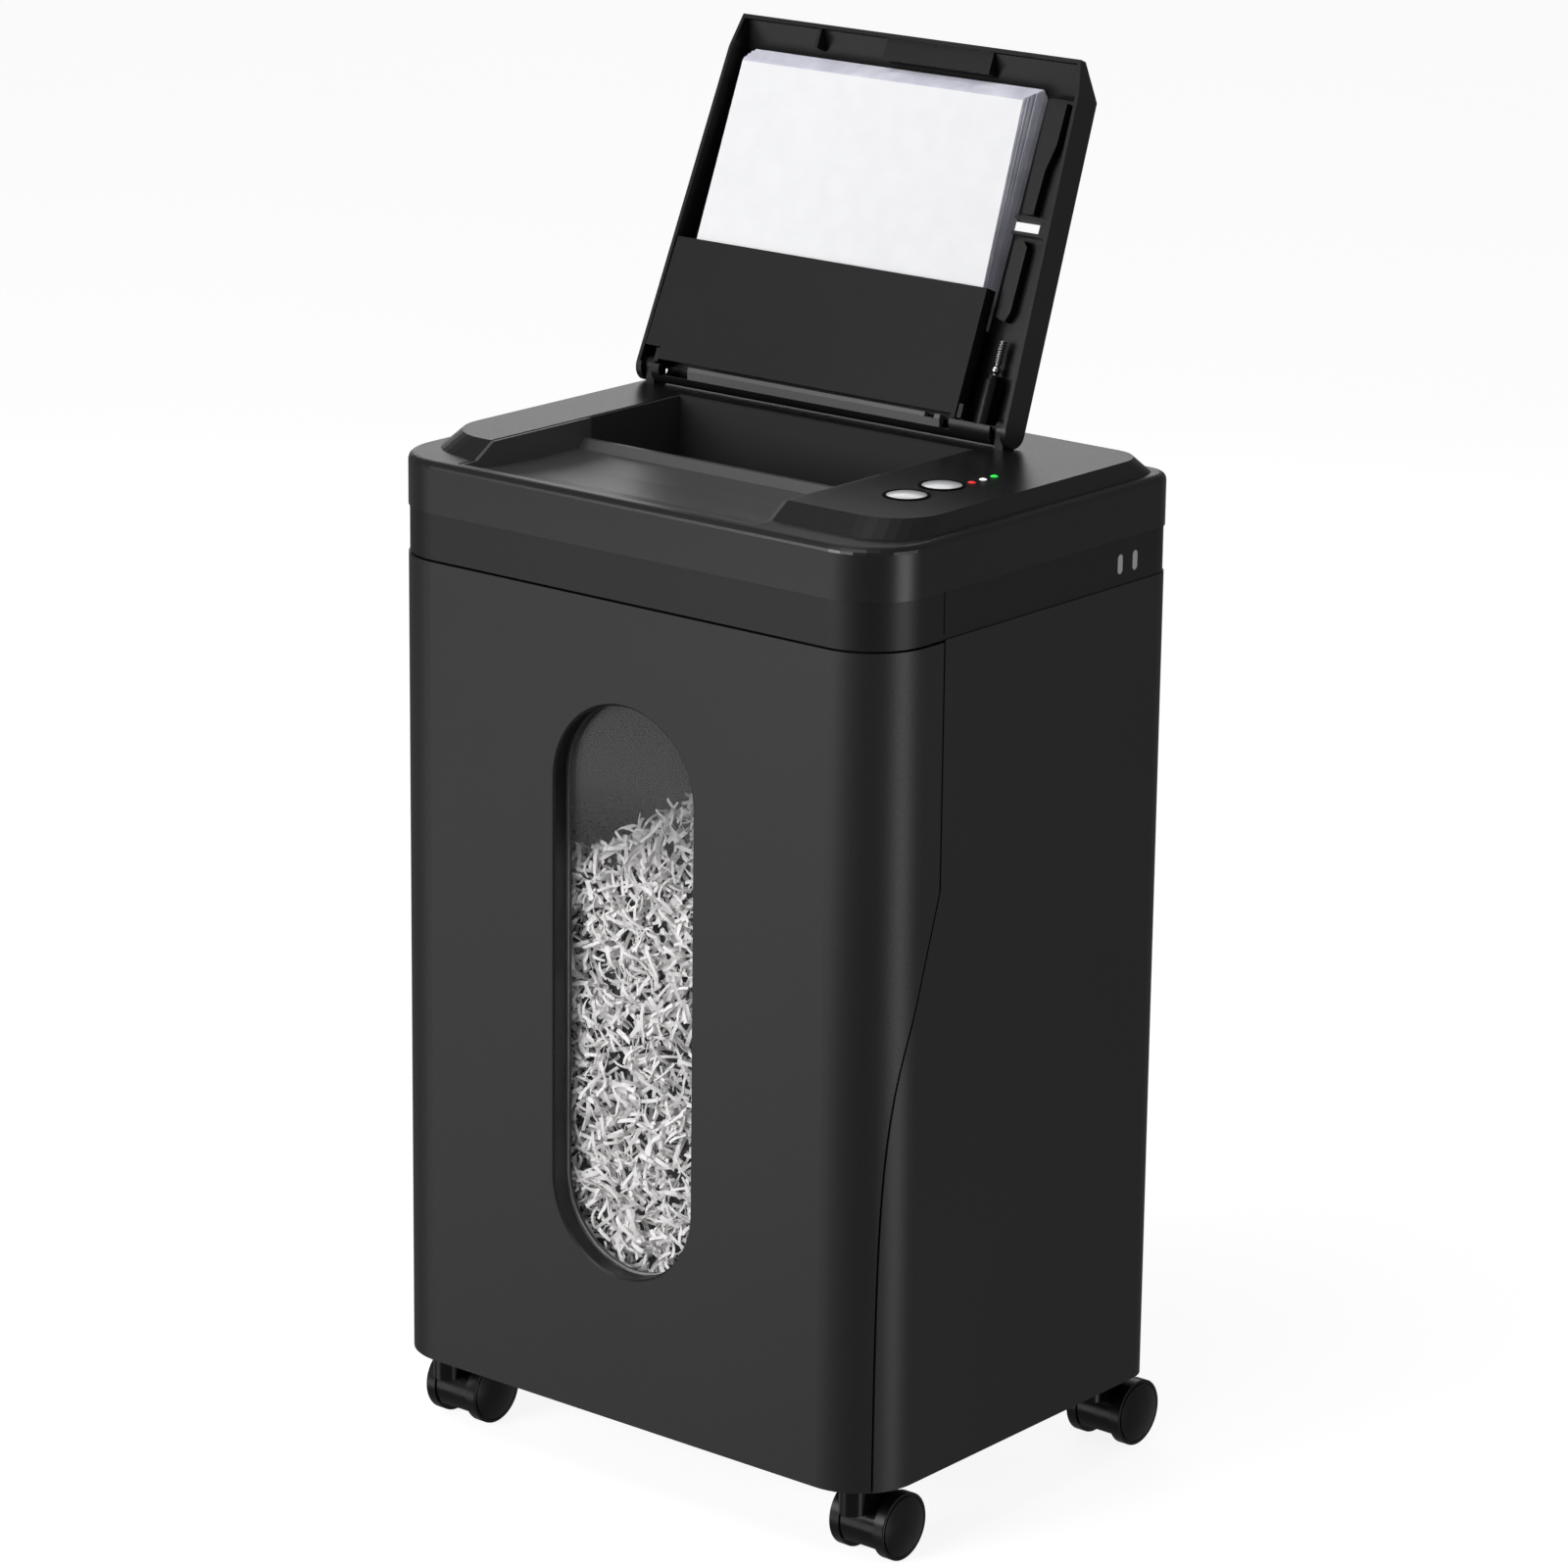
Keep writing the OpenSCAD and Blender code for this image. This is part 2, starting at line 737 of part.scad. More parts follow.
module bin_front_panel() {
    part(charcoal) difference() {
        union() {
            difference() {
                intersection() {
                    translate([0, 0, caster_h]) body_slab(0, bin_h - 2 * seam_gap);
                    front_region(-seam_gap);
                }
                translate([0, 0, caster_h - 1]) body_slab(wall, bin_h + 2);
            }
            stadium(window_w + 4, window_h + 4, -half_d + 0.5, -half_d + collar_depth);
            for (x = [-bin_screw_x, bin_screw_x], z = bin_screw_z)
                translate([x, bucket_front, z]) rotate([90, 0, 0]) cylinder(r = 5, h = bucket_front + half_d - 1);
        }
        stadium(window_w, window_h, -half_d - 1, -half_d + collar_depth + 1);
        // the recess starts with a narrow chamfer
        hull() {
            stadium(window_w + 2.4, window_h + 2.4, -half_d - 0.5, -half_d);
            stadium(window_w, window_h, -half_d, -half_d + 1.2);
        }
    }
}

module bin_bucket() {
    back = bucket_front + bucket_d;
    mid = (bucket_front + back) / 2;
    part(gloss_black) difference() {
        translate([0, mid, bucket_z]) linear_extrude(bucket_top - bucket_z)
            rounded_rect(bucket_w, bucket_d, 14);
        translate([0, mid, bucket_z + bucket_wall]) linear_extrude(bucket_top)
            rounded_rect(bucket_w - 2 * bucket_wall, bucket_d - 2 * bucket_wall, 14 - bucket_wall);
        stadium(window_w, window_h, bucket_front - 1, bucket_front + bucket_wall + 1);
    }
}

module window_pane() {
    part([0.8, 0.85, 0.9, 0.3])
        stadium(window_w + 4, window_h + 4, -half_d + collar_depth, -half_d + collar_depth + pane_t);
}

module window_gasket() {
    y0 = -half_d + collar_depth + pane_t;
    part([0.5, 0.5, 0.5]) difference() {
        stadium(window_w + 4, window_h + 4, y0, bucket_front);
        stadium(window_w - 0.6, window_h - 0.6, y0 - 1, bucket_front + 1);
    }
}

module bin_screws() {
    part(steel) for (x = [-bin_screw_x, bin_screw_x], z = bin_screw_z)
        translate([x, bucket_front + bucket_wall, z]) rotate([-90, 0, 0]) cylinder(r = 4, h = 2);
}

// Loose cut paper: a crust over the heap, open below its surface
module paper_shreds() {
    side = bucket_w / 2 - bucket_wall - 0.5;
    y0 = bucket_front + bucket_wall + 2.3;
    y1 = bucket_front + bucket_d - bucket_wall - 1;
    floor_z = bucket_z + bucket_wall + 0.2;
    top = [[-side, seam_z - 188], [-45, seam_z - 172], [50, seam_z - 104], [side, seam_z - 94]];
    low = [for (i = [3 : -1 : 0]) top[i] - [0, 10]];
    part(paper) intersection() {
        translate([0, (y0 + y1) / 2, floor_z]) linear_extrude(bin_h)
            rounded_rect(2 * side, y1 - y0, 11);
        shred_heap(y0, y1, side, floor_z, top, low);
    }
}

module shred_heap(y0, y1, side, floor_z, top, low) {
    union() {
        translate([0, y0 + 10, 0]) rotate([90, 0, 0]) linear_extrude(10)
            polygon(concat([[-side, floor_z]], top, [[side, floor_z]]));
        translate([0, y1, 0]) rotate([90, 0, 0]) linear_extrude(y1 - y0 - 10)
            polygon(concat(top, low));
    }
}

// ---------------------------------------------------------------- lid

clip_w = 4.6;
inner_left = lid_left + wall;
inner_right = lid_right - wall;
grip = [-49, 29];
slot_v = [113, 120];
ledge_v = 54.5;
bracket_x = -158;
bar_low = -5.8;

module lid_outline() {
    polygon([
        [lid_left, -barrel_r - 1], [lid_right, -barrel_r - 1],
        [lid_right - lid_taper, lid_len - slope_run], [lid_right - lid_taper - clip_w, lid_len],
        [lid_left + lid_taper + clip_w, lid_len], [lid_left + lid_taper, lid_len - slope_run]
    ]);
}

// Side view of the lid: a round hinge end, a flat back and a sloped free end
module lid_profile(inset, out) {
    circle(barrel_r - inset);
    polygon([
        [0, -barrel_r + inset], [lid_len - slope_run - inset / 2, -barrel_r + inset],
        [lid_len - inset, slope_edge + inset / 3], [lid_len - inset, barrel_r + out], [0, barrel_r + out]
    ]);
}

module lid_block() {
    intersection() {
        along_x(lid_left, lid_right) lid_profile(0, 0);
        translate([0, 0, -20]) linear_extrude(40) lid_outline();
    }
}

module lid_body() {
    difference() {
        lid_block();
        intersection() {
            along_x(inner_left, inner_right) lid_profile(wall, 1);
            translate([0, 0, -20]) linear_extrude(40) translate([(lid_left + lid_right) / 2, 0])
                scale([(inner_right - inner_left) / (lid_right - lid_left), 1])
                translate([-(lid_left + lid_right) / 2, 0]) lid_outline();
        }
    }
}

module lid_ribs() {
    base = -barrel_r + wall - eps;
    // finger grip at the free end, seen from inside
    box([grip[0], lid_len - 15, base], [grip[1], lid_len - wall + eps, 6.5]);
    box([-99, lid_len - 14, -1], [-97, lid_len - wall + eps, 8]);
    // ledge that the paper stands on
    box([inner_left + 12, ledge_v - 2.5, base], [flap_right - 4, ledge_v, 5]);
    // cross ribs beside the slot, the block at its end, and the raised panels of the right channel
    for (v = [slot_v[0] - 2, slot_v[1]])
        box([70, v, base], [inner_right + eps, v + 2, 3]);
    box([88, slot_v[0] - 1, base], [94, slot_v[1] + 1, 2]);
    translate([0, 0, base]) linear_extrude(6) {
        polygon([[71, 124], [79, 124], [79.5, 150], [83, 166], [83, lid_len - 24], [69.5, lid_len - 24]]);
        polygon([[71, 63], [78, 61], [80.5, 67], [80.5, 105], [77.5, 108.5], [71, 108.5]]);
    }
    // brackets that carry the two ends of the flap
    for (x = [bracket_x, flap_right + 0.6])
        box([x, 1.5, base], [x + 3, 9.6, 8.2]);
    // feet under the pressure bar, and the stop behind the spring
    for (x = [-121, -37, 47]) box([x, -4, base], [x + 2, 0.8, 4.5]);
    box([74, -1, base], [93, 1, 2]);
    // bosses round the hinge pins
    for (x = [inner_left - eps, inner_right - 2]) bar_x(x, x + 2 + eps, [0, 0], 5);
}

module lid_shell() {
    part(charcoal) in_lid() difference() {
        union() {
            lid_body();
            intersection() {
                lid_ribs();
                lid_block();
            }
        }
        box([grip[0] + 2, lid_len - 13, -barrel_r - 2], [grip[1] - 2, lid_len + 2, 3.6]);
        box([60, slot_v[0], -barrel_r - 1], [88, slot_v[1], 0]);
        // room for the pressure bar in the round end
        box([-152, bar_low - 0.3, 4.5], [flap_right - 3, eps, barrel_r + 1]);
        for (x = [lid_left + 4.2, lid_right - 5.8 - post_w])
            box([x, -barrel_r - 1, -barrel_r - 1], [x + post_w + 1.6, 0, barrel_r + 1]);
        bar_x(lid_left + lid_skin, inner_left + 3, [0, 0], hinge_pin_r + running);
        bar_x(inner_right - 3, lid_right - lid_skin, [0, 0], hinge_pin_r + running);
        bar_x(bracket_x - 1, bracket_x + 4, flap_pivot, 1.5);
        bar_x(flap_right, flap_right + 5, flap_pivot, 1.5);
    }
}

module pressure_bar() {
    part([0.35, 0.35, 0.36]) in_lid() difference() {
        along_x(-130, 58) polygon([
            [bar_low, 4.5], [bar_low, 7.3], [-1.2, barrel_r - 0.2], [1.2, barrel_r - 0.2], [1.2, 4.5]
        ]);
        box([47, -1.4, 4], [54, 2, barrel_r + 1]);
    }
}

module flap_pins() {
    part(steel) in_lid() {
        bar_x(bracket_x, bracket_x + 7, flap_pivot, 1.5);
        bar_x(flap_right - 2.8, flap_right + 3.6, flap_pivot, 1.5);
    }
}

module flap() {
    face = barrel_r - 0.3;
    left = inner_left + 1.2;
    draw = lid_taper * flap_top / (lid_len - slope_run);
    part(charcoal) in_lid() difference() {
        union() {
            translate([0, 0, face - flap_t]) linear_extrude(flap_t) polygon([
                [bracket_x + 3.4, 3.2], [flap_right, 3.2], [flap_right, flap_top],
                [left + draw, flap_top], [left, 10.4], [bracket_x + 3.4, 10.4]
            ]);
            // the side of the flap, which runs down past its pivot
            along_x(flap_right - 2.8, flap_right) polygon([
                [1, 3], [3, 0.4], [flap_top, 0.4], [flap_top, face], [1, face]
            ]);
            bar_x(bracket_x + 3.4, bracket_x + 7, flap_pivot, 3);
        }
        bar_x(bracket_x + 2, bracket_x + 8, flap_pivot, 1.5 + running);
        bar_x(flap_right - 4, flap_right + 1, flap_pivot, 1.5 + running);
    }
}

// A sprung plunger that steadies the flap's arm
barrel_at = [81, -1];

module along_lid(v0, v1, r) {
    translate([barrel_at[0], v0, barrel_at[1]]) rotate([-90, 0, 0]) cylinder(r = r, h = v1 - v0);
}

module spring_barrel() {
    part(satin_black) in_lid() {
        along_lid(1, 27, 5.8);
        along_lid(27, 29.5, 4.6);
    }
}

module spring_plunger() {
    part(steel) in_lid() {
        along_lid(29.5, 50, 1.6);
        translate([barrel_at[0], 33, barrel_at[1]]) sphere(r = 3);
    }
}

stack_x = [-151, 65];
stack_h = 143.5;

module paper_stack() {
    back = -barrel_r + wall;
    front = barrel_r - 2.6;
    top = ledge_v + stack_h;
    part(paper) in_lid() along_x(stack_x[0], stack_x[1])
        polygon([[ledge_v, back], [top - 6, back], [top, back + 4], [top, front], [ledge_v, front]]);
}

// ---------------------------------------------------------------- casters

// Each caster trails behind its stem, towards the back of the cabinet
module at_caster(i) {
    translate([corner_x(i), corner_y(i), 0]) children();
}

module caster(i) {
    part(gloss_black) at_caster(i) {
        translate([0, 0, 31]) cylinder(r = 8.3, h = caster_h - 31 - 0.3);
        box([-8.3, 0, 31], [8.3, trail, 41]);
        translate([0, 0, 36]) cylinder(r = stem_r, h = caster_h - 36 + 17);
        difference() {
            bar_x(-hood_w / 2, hood_w / 2, [trail, wheel_r], hood_r);
            // the hood is open below, behind and between its cheeks
            difference() {
                bar_x(-hood_w / 2 + 2, hood_w / 2 - 2, [trail, wheel_r], hood_r - 2);
                box([-3, trail - 30, wheel_r - 3], [3, trail + 30, wheel_r + 30]);
            }
            box([-20, trail - 30, -1], [20, trail + 30, wheel_r - 11]);
        }
        bar_x(-hood_w / 2 - wheel_w + 1, hood_w / 2 + wheel_w - 1, [trail, wheel_r], axle_r);
    }
}

// One of the pair of wheels; side is -1 or 1 along x
module wheel(i, side) {
    x0 = hood_w / 2 + 0.4;
    r = wheel_r - eps;
    part(gloss_black) at_caster(i) translate([0, trail, wheel_r]) rotate([0, side * 90, 0])
        difference() {
            translate([0, 0, x0]) union() {
                cylinder(r = r, h = wheel_w - 1.4);
                intersection() {
                    cylinder(r = r - 0.8, h = wheel_w + 2);
                    translate([0, 0, wheel_w - 60.4]) sphere(r = 62, $fn = 96);
                }
            }
            translate([0, 0, x0 - 1]) cylinder(r = axle_r + running, h = wheel_w - 0.1);
            // the line between the tread and the cap
            translate([0, 0, x0 + wheel_w - 1.9]) difference() {
                cylinder(r = wheel_r - 1.7, h = 5);
                translate([0, 0, -1]) cylinder(r = wheel_r - 2.5, h = 7);
            }
        }
}

module caster_front_left() { caster(0); }
module caster_front_right() { caster(1); }
module caster_rear_left() { caster(2); }
module caster_rear_right() { caster(3); }
module wheel_front_left_outer() { wheel(0, -1); }
module wheel_front_left_inner() { wheel(0, 1); }
module wheel_front_right_outer() { wheel(1, 1); }
module wheel_front_right_inner() { wheel(1, -1); }
module wheel_rear_left_outer() { wheel(2, -1); }
module wheel_rear_left_inner() { wheel(2, 1); }
module wheel_rear_right_outer() { wheel(3, 1); }
module wheel_rear_right_inner() { wheel(3, -1); }

cabinet_shell();
cabinet_base();
stem_sockets();
head_chassis();
front_band();
top_cover();
feed_tray();
hinge_posts();
hinge_pins();
red_light();
white_light();
green_light();
side_slot_inserts();
cutter_left_plate();
cutter_right_plate();
gearbox_cover();
tie_rods();
stripper_combs();
drive_motor();
control_board();
cord_gland();
power_switch_frame();
bin_switch();
rear_screws();
front_cutter_shaft();
front_cutter_gear();
rear_cutter_shaft();
rear_cutter_gears();
idler_gear();
motor_pinion();
feed_shaft();
feed_rollers();
start_button();
reverse_button();
power_rocker();
bin_front_panel();
bin_bucket();
window_pane();
window_gasket();
bin_screws();
paper_shreds();
lid_shell();
pressure_bar();
spring_barrel();
spring_plunger();
flap_pins();
paper_stack();
flap();
caster_front_left();
caster_front_right();
caster_rear_left();
caster_rear_right();
wheel_front_left_outer();
wheel_front_left_inner();
wheel_front_right_outer();
wheel_front_right_inner();
wheel_rear_left_outer();
wheel_rear_left_inner();
wheel_rear_right_outer();
wheel_rear_right_inner();
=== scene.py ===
"""Looks for the auto-feed paper shredder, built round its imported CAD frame.

Metres, Z up, and the front faces -Y. Places come from the frame's own boxes; sizes that the
frame can't give are named here.
"""

import json
import math
import random

import bpy
from mathutils import Matrix, Vector


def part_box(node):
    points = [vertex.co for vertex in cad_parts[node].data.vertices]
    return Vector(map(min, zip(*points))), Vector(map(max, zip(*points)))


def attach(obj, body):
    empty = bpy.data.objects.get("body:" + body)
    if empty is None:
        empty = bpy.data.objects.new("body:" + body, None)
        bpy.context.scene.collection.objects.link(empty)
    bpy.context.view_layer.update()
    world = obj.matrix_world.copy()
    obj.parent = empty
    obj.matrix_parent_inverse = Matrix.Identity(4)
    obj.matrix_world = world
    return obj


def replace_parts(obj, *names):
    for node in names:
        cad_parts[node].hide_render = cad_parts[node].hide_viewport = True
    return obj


MM = 0.001

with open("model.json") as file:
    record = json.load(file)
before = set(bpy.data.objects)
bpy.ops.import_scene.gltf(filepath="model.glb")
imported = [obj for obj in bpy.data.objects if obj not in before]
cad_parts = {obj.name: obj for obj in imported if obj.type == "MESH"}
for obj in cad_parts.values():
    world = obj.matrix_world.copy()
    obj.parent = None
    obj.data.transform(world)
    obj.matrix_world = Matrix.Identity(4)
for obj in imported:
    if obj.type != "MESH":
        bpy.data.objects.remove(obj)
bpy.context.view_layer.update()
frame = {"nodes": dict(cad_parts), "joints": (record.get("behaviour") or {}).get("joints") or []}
nodes = frame["nodes"]
joints = {joint["name"]: joint for joint in frame["joints"]}


def middle(node):
    low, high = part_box(node)
    return (Vector(low) + Vector(high)) / 2


cover_low, cover_high = (Vector(corner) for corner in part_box("top_cover"))
shell_high = Vector(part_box("cabinet_shell")[1])
WIDTH = cover_high.x - cover_low.x
SEAM = Vector((middle("top_cover").x, middle("top_cover").y, shell_high.z))


# ------------------------------------------------------------------ camera and light

VIEW_AZIMUTH = math.radians(39.27)
VIEW_ELEVATION = math.radians(16.21)
VIEW_ROLL = math.radians(0.67)
EYE = SEAM + WIDTH * Vector((5.6187, -6.8493, 2.2108))
SENSOR = 36.0
LENS = 134.64


def make_camera():
    back = Vector((
        math.sin(VIEW_AZIMUTH) * math.cos(VIEW_ELEVATION),
        -math.cos(VIEW_AZIMUTH) * math.cos(VIEW_ELEVATION),
        math.sin(VIEW_ELEVATION),
    ))
    level = Vector((math.cos(VIEW_AZIMUTH), math.sin(VIEW_AZIMUTH), 0))
    upright = back.cross(level)
    right = level * math.cos(VIEW_ROLL) + upright * math.sin(VIEW_ROLL)
    up = upright * math.cos(VIEW_ROLL) - level * math.sin(VIEW_ROLL)
    data = bpy.data.cameras.new("camera")
    data.sensor_width = SENSOR
    data.lens = LENS
    data.clip_start, data.clip_end = 0.1, 60
    camera = bpy.data.objects.new("camera", data)
    bpy.context.scene.collection.objects.link(camera)
    camera.matrix_world = Matrix.Translation(EYE) @ Matrix((right, up, back)).transposed().to_4x4()
    bpy.context.scene.camera = camera


def area_light(name, at, aim, size, power):
    data = bpy.data.lights.new(name, "AREA")
    data.shape = "RECTANGLE"
    data.size, data.size_y = size
    data.energy = power
    light = bpy.data.objects.new(name, data)
    bpy.context.scene.collection.objects.link(light)
    light.location = at
    light.rotation_euler = (Vector(aim) - Vector(at)).to_track_quat("-Z", "Y").to_euler()


def make_lights():
    world = bpy.data.worlds.new("studio")
    bpy.context.scene.world = world
    world.use_nodes = True
    sky = world.node_tree.nodes["Background"]
    sky.inputs["Color"].default_value = (0.97, 0.98, 1.0, 1)
    sky.inputs["Strength"].default_value = 0.2
    aim = (0, 0, 0.42)
    area_light("key", (-1.0, -3.1, 1.25), aim, (1.5, 1.3), 74)
    area_light("low_fill", (-2.1, -2.6, -0.75), (0, 0, 0.1), (1.9, 1.1), 9)
    area_light("overhead", (-0.3, -1.2, 3.0), aim, (2.0, 1.4), 30)
    area_light("back_left", (-1.75, 1.75, 1.1), (-0.1, 0, 0.55), (1.5, 0.9), 5)
    area_light("side_strip", (2.45, 0.05, 0.2), (0, 0, 0.3), (0.95, 2.2), 19)
    scene = bpy.context.scene
    scene.view_settings.view_transform = "Standard"
    scene.view_settings.look = "None"


# ------------------------------------------------------------------ materials

def new_material(name, **sockets):
    made = bpy.data.materials.new(name)
    made.use_nodes = True
    shader = made.node_tree.nodes["Principled BSDF"]
    for socket, value in sockets.items():
        shader.inputs[socket.replace("_", " ")].default_value = value
    return made


def add_noise(made, scale, detail=2.0, stretch=(1, 1, 1)):
    """A noise texture in the object's own metres, and its height."""
    tree = made.node_tree
    place = tree.nodes.new("ShaderNodeTexCoord")
    mapping = tree.nodes.new("ShaderNodeMapping")
    mapping.inputs["Scale"].default_value = stretch
    noise = tree.nodes.new("ShaderNodeTexNoise")
    noise.inputs["Scale"].default_value = scale
    noise.inputs["Detail"].default_value = detail
    tree.links.new(place.outputs["Object"], mapping.inputs["Vector"])
    tree.links.new(mapping.outputs["Vector"], noise.inputs["Vector"])
    return noise.outputs["Fac"]


def vary(made, height, socket, low, high):
    """Drives a socket between two values by a height."""
    tree = made.node_tree
    ramp = tree.nodes.new("ShaderNodeValToRGB")
    ramp.color_ramp.elements[0].position = 0.3
    ramp.color_ramp.elements[1].position = 0.7
    grey = isinstance(low, (int, float))
    ramp.color_ramp.elements[0].color = (low, low, low, 1) if grey else (*low, 1)
    ramp.color_ramp.elements[1].color = (high, high, high, 1) if grey else (*high, 1)
    tree.links.new(height, ramp.inputs["Fac"])
    tree.links.new(ramp.outputs["Color"], tree.nodes["Principled BSDF"].inputs[socket])


def bump(made, height, depth, strength=1.0):
    tree = made.node_tree
    node = tree.nodes.new("ShaderNodeBump")
    node.inputs["Strength"].default_value = strength
    node.inputs["Distance"].default_value = depth
    tree.links.new(height, node.inputs["Height"])
    tree.links.new(node.outputs["Normal"], tree.nodes["Principled BSDF"].inputs["Normal"])


def plastic(name, dark, light, rough, grain=1400, depth=0.00004, **sockets):
    """Moulded plastic: broad uneven tone, and a fine grain in its surface and gloss."""
    made = new_material(name, **sockets)
    vary(made, add_noise(made, 5, 3), "Base Color", dark, light)
    grains = add_noise(made, grain, 1)
    vary(made, grains, "Roughness", rough - 0.04, rough + 0.04)
    bump(made, grains, depth)
    return made


def grey(value, warm=0.0):
    return (value * (1 + warm), value, value * (1 - warm))


def metal(name, dark, light, rough, stretch=(1, 1, 1)):
    made = new_material(name, Metallic=1.0)
    brushed = add_noise(made, 900, 2, stretch)
    vary(made, brushed, "Base Color", dark, light)
    vary(made, add_noise(made, 60, 3), "Roughness", rough - 0.06, rough + 0.08)
    bump(made, brushed, 0.00002)
    return made


def paper_material(name, dark, light):
    made = new_material(name, Roughness=0.85, Specular_IOR_Level=0.25)
    vary(made, add_noise(made, 70, 3), "Base Color", dark, light)
    bump(made, add_noise(made, 2600, 2), 0.00003)
    return made


def lens_material(name, colour, glow):
    made = new_material(
        name, Base_Color=(*colour, 1), Roughness=0.15, Emission_Color=(*colour, 1),
        Emission_Strength=glow,
    )
    bump(made, add_noise(made, 900, 1), 0.00002)
    return made


def by_place(made, socket, axis, start, end, first, last):
    """Drives a socket from first to last between two places along the object's axis."""
    tree = made.node_tree
    place = tree.nodes.new("ShaderNodeTexCoord")
    split = tree.nodes.new("ShaderNodeSeparateXYZ")
    span = tree.nodes.new("ShaderNodeMapRange")
    for name, value in (("From Min", start), ("From Max", end)):
        span.inputs[name].default_value = value
    tree.links.new(place.outputs["Object"], split.inputs["Vector"])
    tree.links.new(split.outputs[axis], span.inputs["Value"])
    vary(made, span.outputs["Result"], socket, first, last)


def window_material():
    """Clear plastic, greyer and less clear over its top part."""
    made = new_material("clear_window", Base_Color=(0.10, 0.10, 0.10, 1))
    vary(made, add_noise(made, 12, 3, (1, 1, 0.25)), "Roughness", 0.03, 0.10)
    low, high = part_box("window_pane")
    by_place(made, "Alpha", "Z", high[2] - WINDOW_GREY_SPAN, high[2], 0.03, 0.28)
    return made


def paint(names, made):
    """Gives CAD nodes or pieces a material."""
    for name in names:
        slots = bpy.data.objects[name].data.materials
        slots.clear()
        slots.append(made)


# How far down from its top the window pane grows greyer and less clear.
WINDOW_GREY_SPAN = 160 * MM
TRAY_FLOOR_DEPTH = 110 * MM
CASTERS = [f"{end}_{side}" for end in ("front", "rear") for side in ("left", "right")]


def paint_frame():
    body = plastic("satin_charcoal", grey(0.0048, 0.02), grey(0.0066, 0.02), 0.44)
    paint(["cabinet_shell", "bin_front_panel"], body)
    paint(["top_cover", "hinge_posts"],
          plastic("satin_cover", grey(0.0042, 0.02), grey(0.0060, 0.02), 0.33, 1800, 0.00003,
                  Specular_IOR_Level=0.5))
    paint(["head_chassis", "front_band"],
          plastic("satin_band", grey(0.0028, 0.02), grey(0.0040, 0.02), 0.43, 1800, 0.00003,
                  Specular_IOR_Level=0.38))
    paint(["lid_shell"], plastic("lid_black", grey(0.0045), grey(0.0065), 0.34, 1600, 0.00003,
                                 Specular_IOR_Level=0.4))
    paint(["flap"], plastic("flap_black", grey(0.0055), grey(0.0080), 0.50, 1100, 0.00006,
                            Specular_IOR_Level=0.22))
    tray = new_material("tray_black", Specular_IOR_Level=0.75)
    bump(tray, add_noise(tray, 1500, 1), 0.00004)
    tray_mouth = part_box("feed_tray")[0][1] + TRAY_FLOOR_DEPTH  # where the floor meets the well
    well_starts, well_ends = tray_mouth - 2 * MM, tray_mouth + 4 * MM
    # Painted light and shade: the base colour is light on the tray floor, standing in for its lit
    # look, and near black from the well back, standing in for the shade in the well.
    by_place(tray, "Base Color", "Y", well_starts, well_ends, grey(0.06), grey(0.0003))
    by_place(tray, "Roughness", "Y", well_starts, well_ends, 0.36, 0.85)
    paint(["feed_tray"], tray)
    paint(["cabinet_base", "gearbox_cover"],
          plastic("moulded_black", grey(0.02), grey(0.03), 0.55, 700, 0.00008))
    paint(["bin_bucket"],
          plastic("bin_grey", grey(0.05), grey(0.07), 0.5, 700, 0.00005))
    paint(["pressure_bar"], plastic("bar_grey", grey(0.07), grey(0.09), 0.4, 1200))
    gloss = plastic("gloss_black", grey(0.0015), grey(0.0030), 0.22, 90, 0.00002,
                    Specular_IOR_Level=0.32)
    paint([f"caster_{place}" for place in CASTERS], gloss)
    paint(["power_switch_frame", "power_rocker", "spring_barrel", "stripper_combs"], gloss)
    paint([f"wheel_{place}_{side}" for place in CASTERS for side in ("outer", "inner")],
          plastic("wheel_black", grey(0.0018), grey(0.0035), 0.28, 90, 0.00002,
                  Specular_IOR_Level=0.32))
    rubber = plastic("soft_rubber", grey(0.018), grey(0.03), 0.75, 900, 0.00008)
    paint(["cord_gland", "feed_rollers"], rubber)
    paint(["start_button", "reverse_button"],
          plastic("button_silver", (0.97, 0.98, 0.99), (0.99, 0.99, 1.0), 0.20, 1500, 0.000005,
                  Coat_Weight=1.0, Coat_IOR=1.9, Coat_Roughness=0.12))
    paint(["red_light"], lens_material("red_lens", (0.72, 0.03, 0.03), 0.5))
    paint(["white_light"], lens_material("white_lens", (0.85, 0.88, 0.92), 0.6))
    paint(["green_light"], lens_material("green_lens", (0.02, 0.62, 0.06), 0.9))
    paint(["side_slot_inserts", "window_gasket"],
          plastic("trim_grey", grey(0.34), grey(0.42), 0.3, 1200, 0.00002))
    steel = metal("bright_steel", grey(0.50), grey(0.62), 0.25, (1, 8, 1))
    paint(["stem_sockets", "hinge_pins", "tie_rods", "rear_screws", "bin_screws", "feed_shaft",
           "spring_plunger", "cutter_left_plate", "cutter_right_plate"], steel)
    paint(["flap_pins"], metal("dark_steel", grey(0.06), grey(0.10), 0.35, (1, 8, 1)))
    oiled = metal("oiled_steel", grey(0.30), grey(0.40), 0.32, (8, 1, 1))
    paint(["front_cutter_shaft", "rear_cutter_shaft", "front_cutter_gear", "rear_cutter_gears",
           "motor_pinion"], oiled)
    paint(["drive_motor"], metal("zinc_can", grey(0.32, 0.02), grey(0.45, 0.02), 0.42, (0.2, 1, 1)))
    paint(["idler_gear"], plastic("nylon", (0.62, 0.60, 0.52), (0.70, 0.68, 0.60), 0.5, 800))
    paint(["control_board"],
          plastic("board_green", (0.01, 0.07, 0.03), (0.02, 0.11, 0.04), 0.4, 500))
    paint(["bin_switch"], plastic("switch_red", (0.36, 0.02, 0.02), (0.44, 0.03, 0.03), 0.4, 900))
    paint(["window_pane"], window_material())


# ------------------------------------------------------------------ mesh helpers

